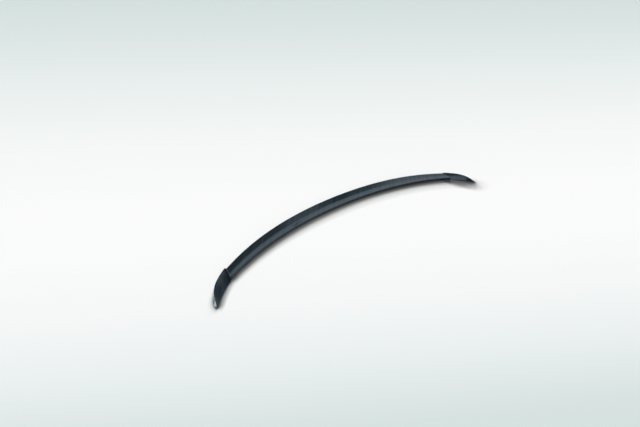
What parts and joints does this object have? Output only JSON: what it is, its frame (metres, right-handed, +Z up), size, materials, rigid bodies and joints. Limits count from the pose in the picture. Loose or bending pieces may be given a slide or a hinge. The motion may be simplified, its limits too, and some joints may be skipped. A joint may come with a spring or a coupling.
{
  "type": "car rear spoiler",
  "caption": "Low lip spoiler for a car's boot lid: a bowed blade with a raised rear edge, a blunt nose and a stepped, leaf-shaped winglet at each end, hollow underneath.",
  "frame": {"origin": "centre of the bounding box's bottom, on the plane of the rear bonding land, midway between the tips", "axes": "+X across the car to the right winglet, +Y towards the rear of the car, +Z up"},
  "size_m": [1.2108, 0.246, 0.0195],
  "materials": {
    "carbon_shell": "woven carbon fibre in a 2x2 twill under a high-gloss clear coat"
  },
  "bodies": {
    "root": {"spoiler": "carbon_shell"}
  },
  "joints": []
}
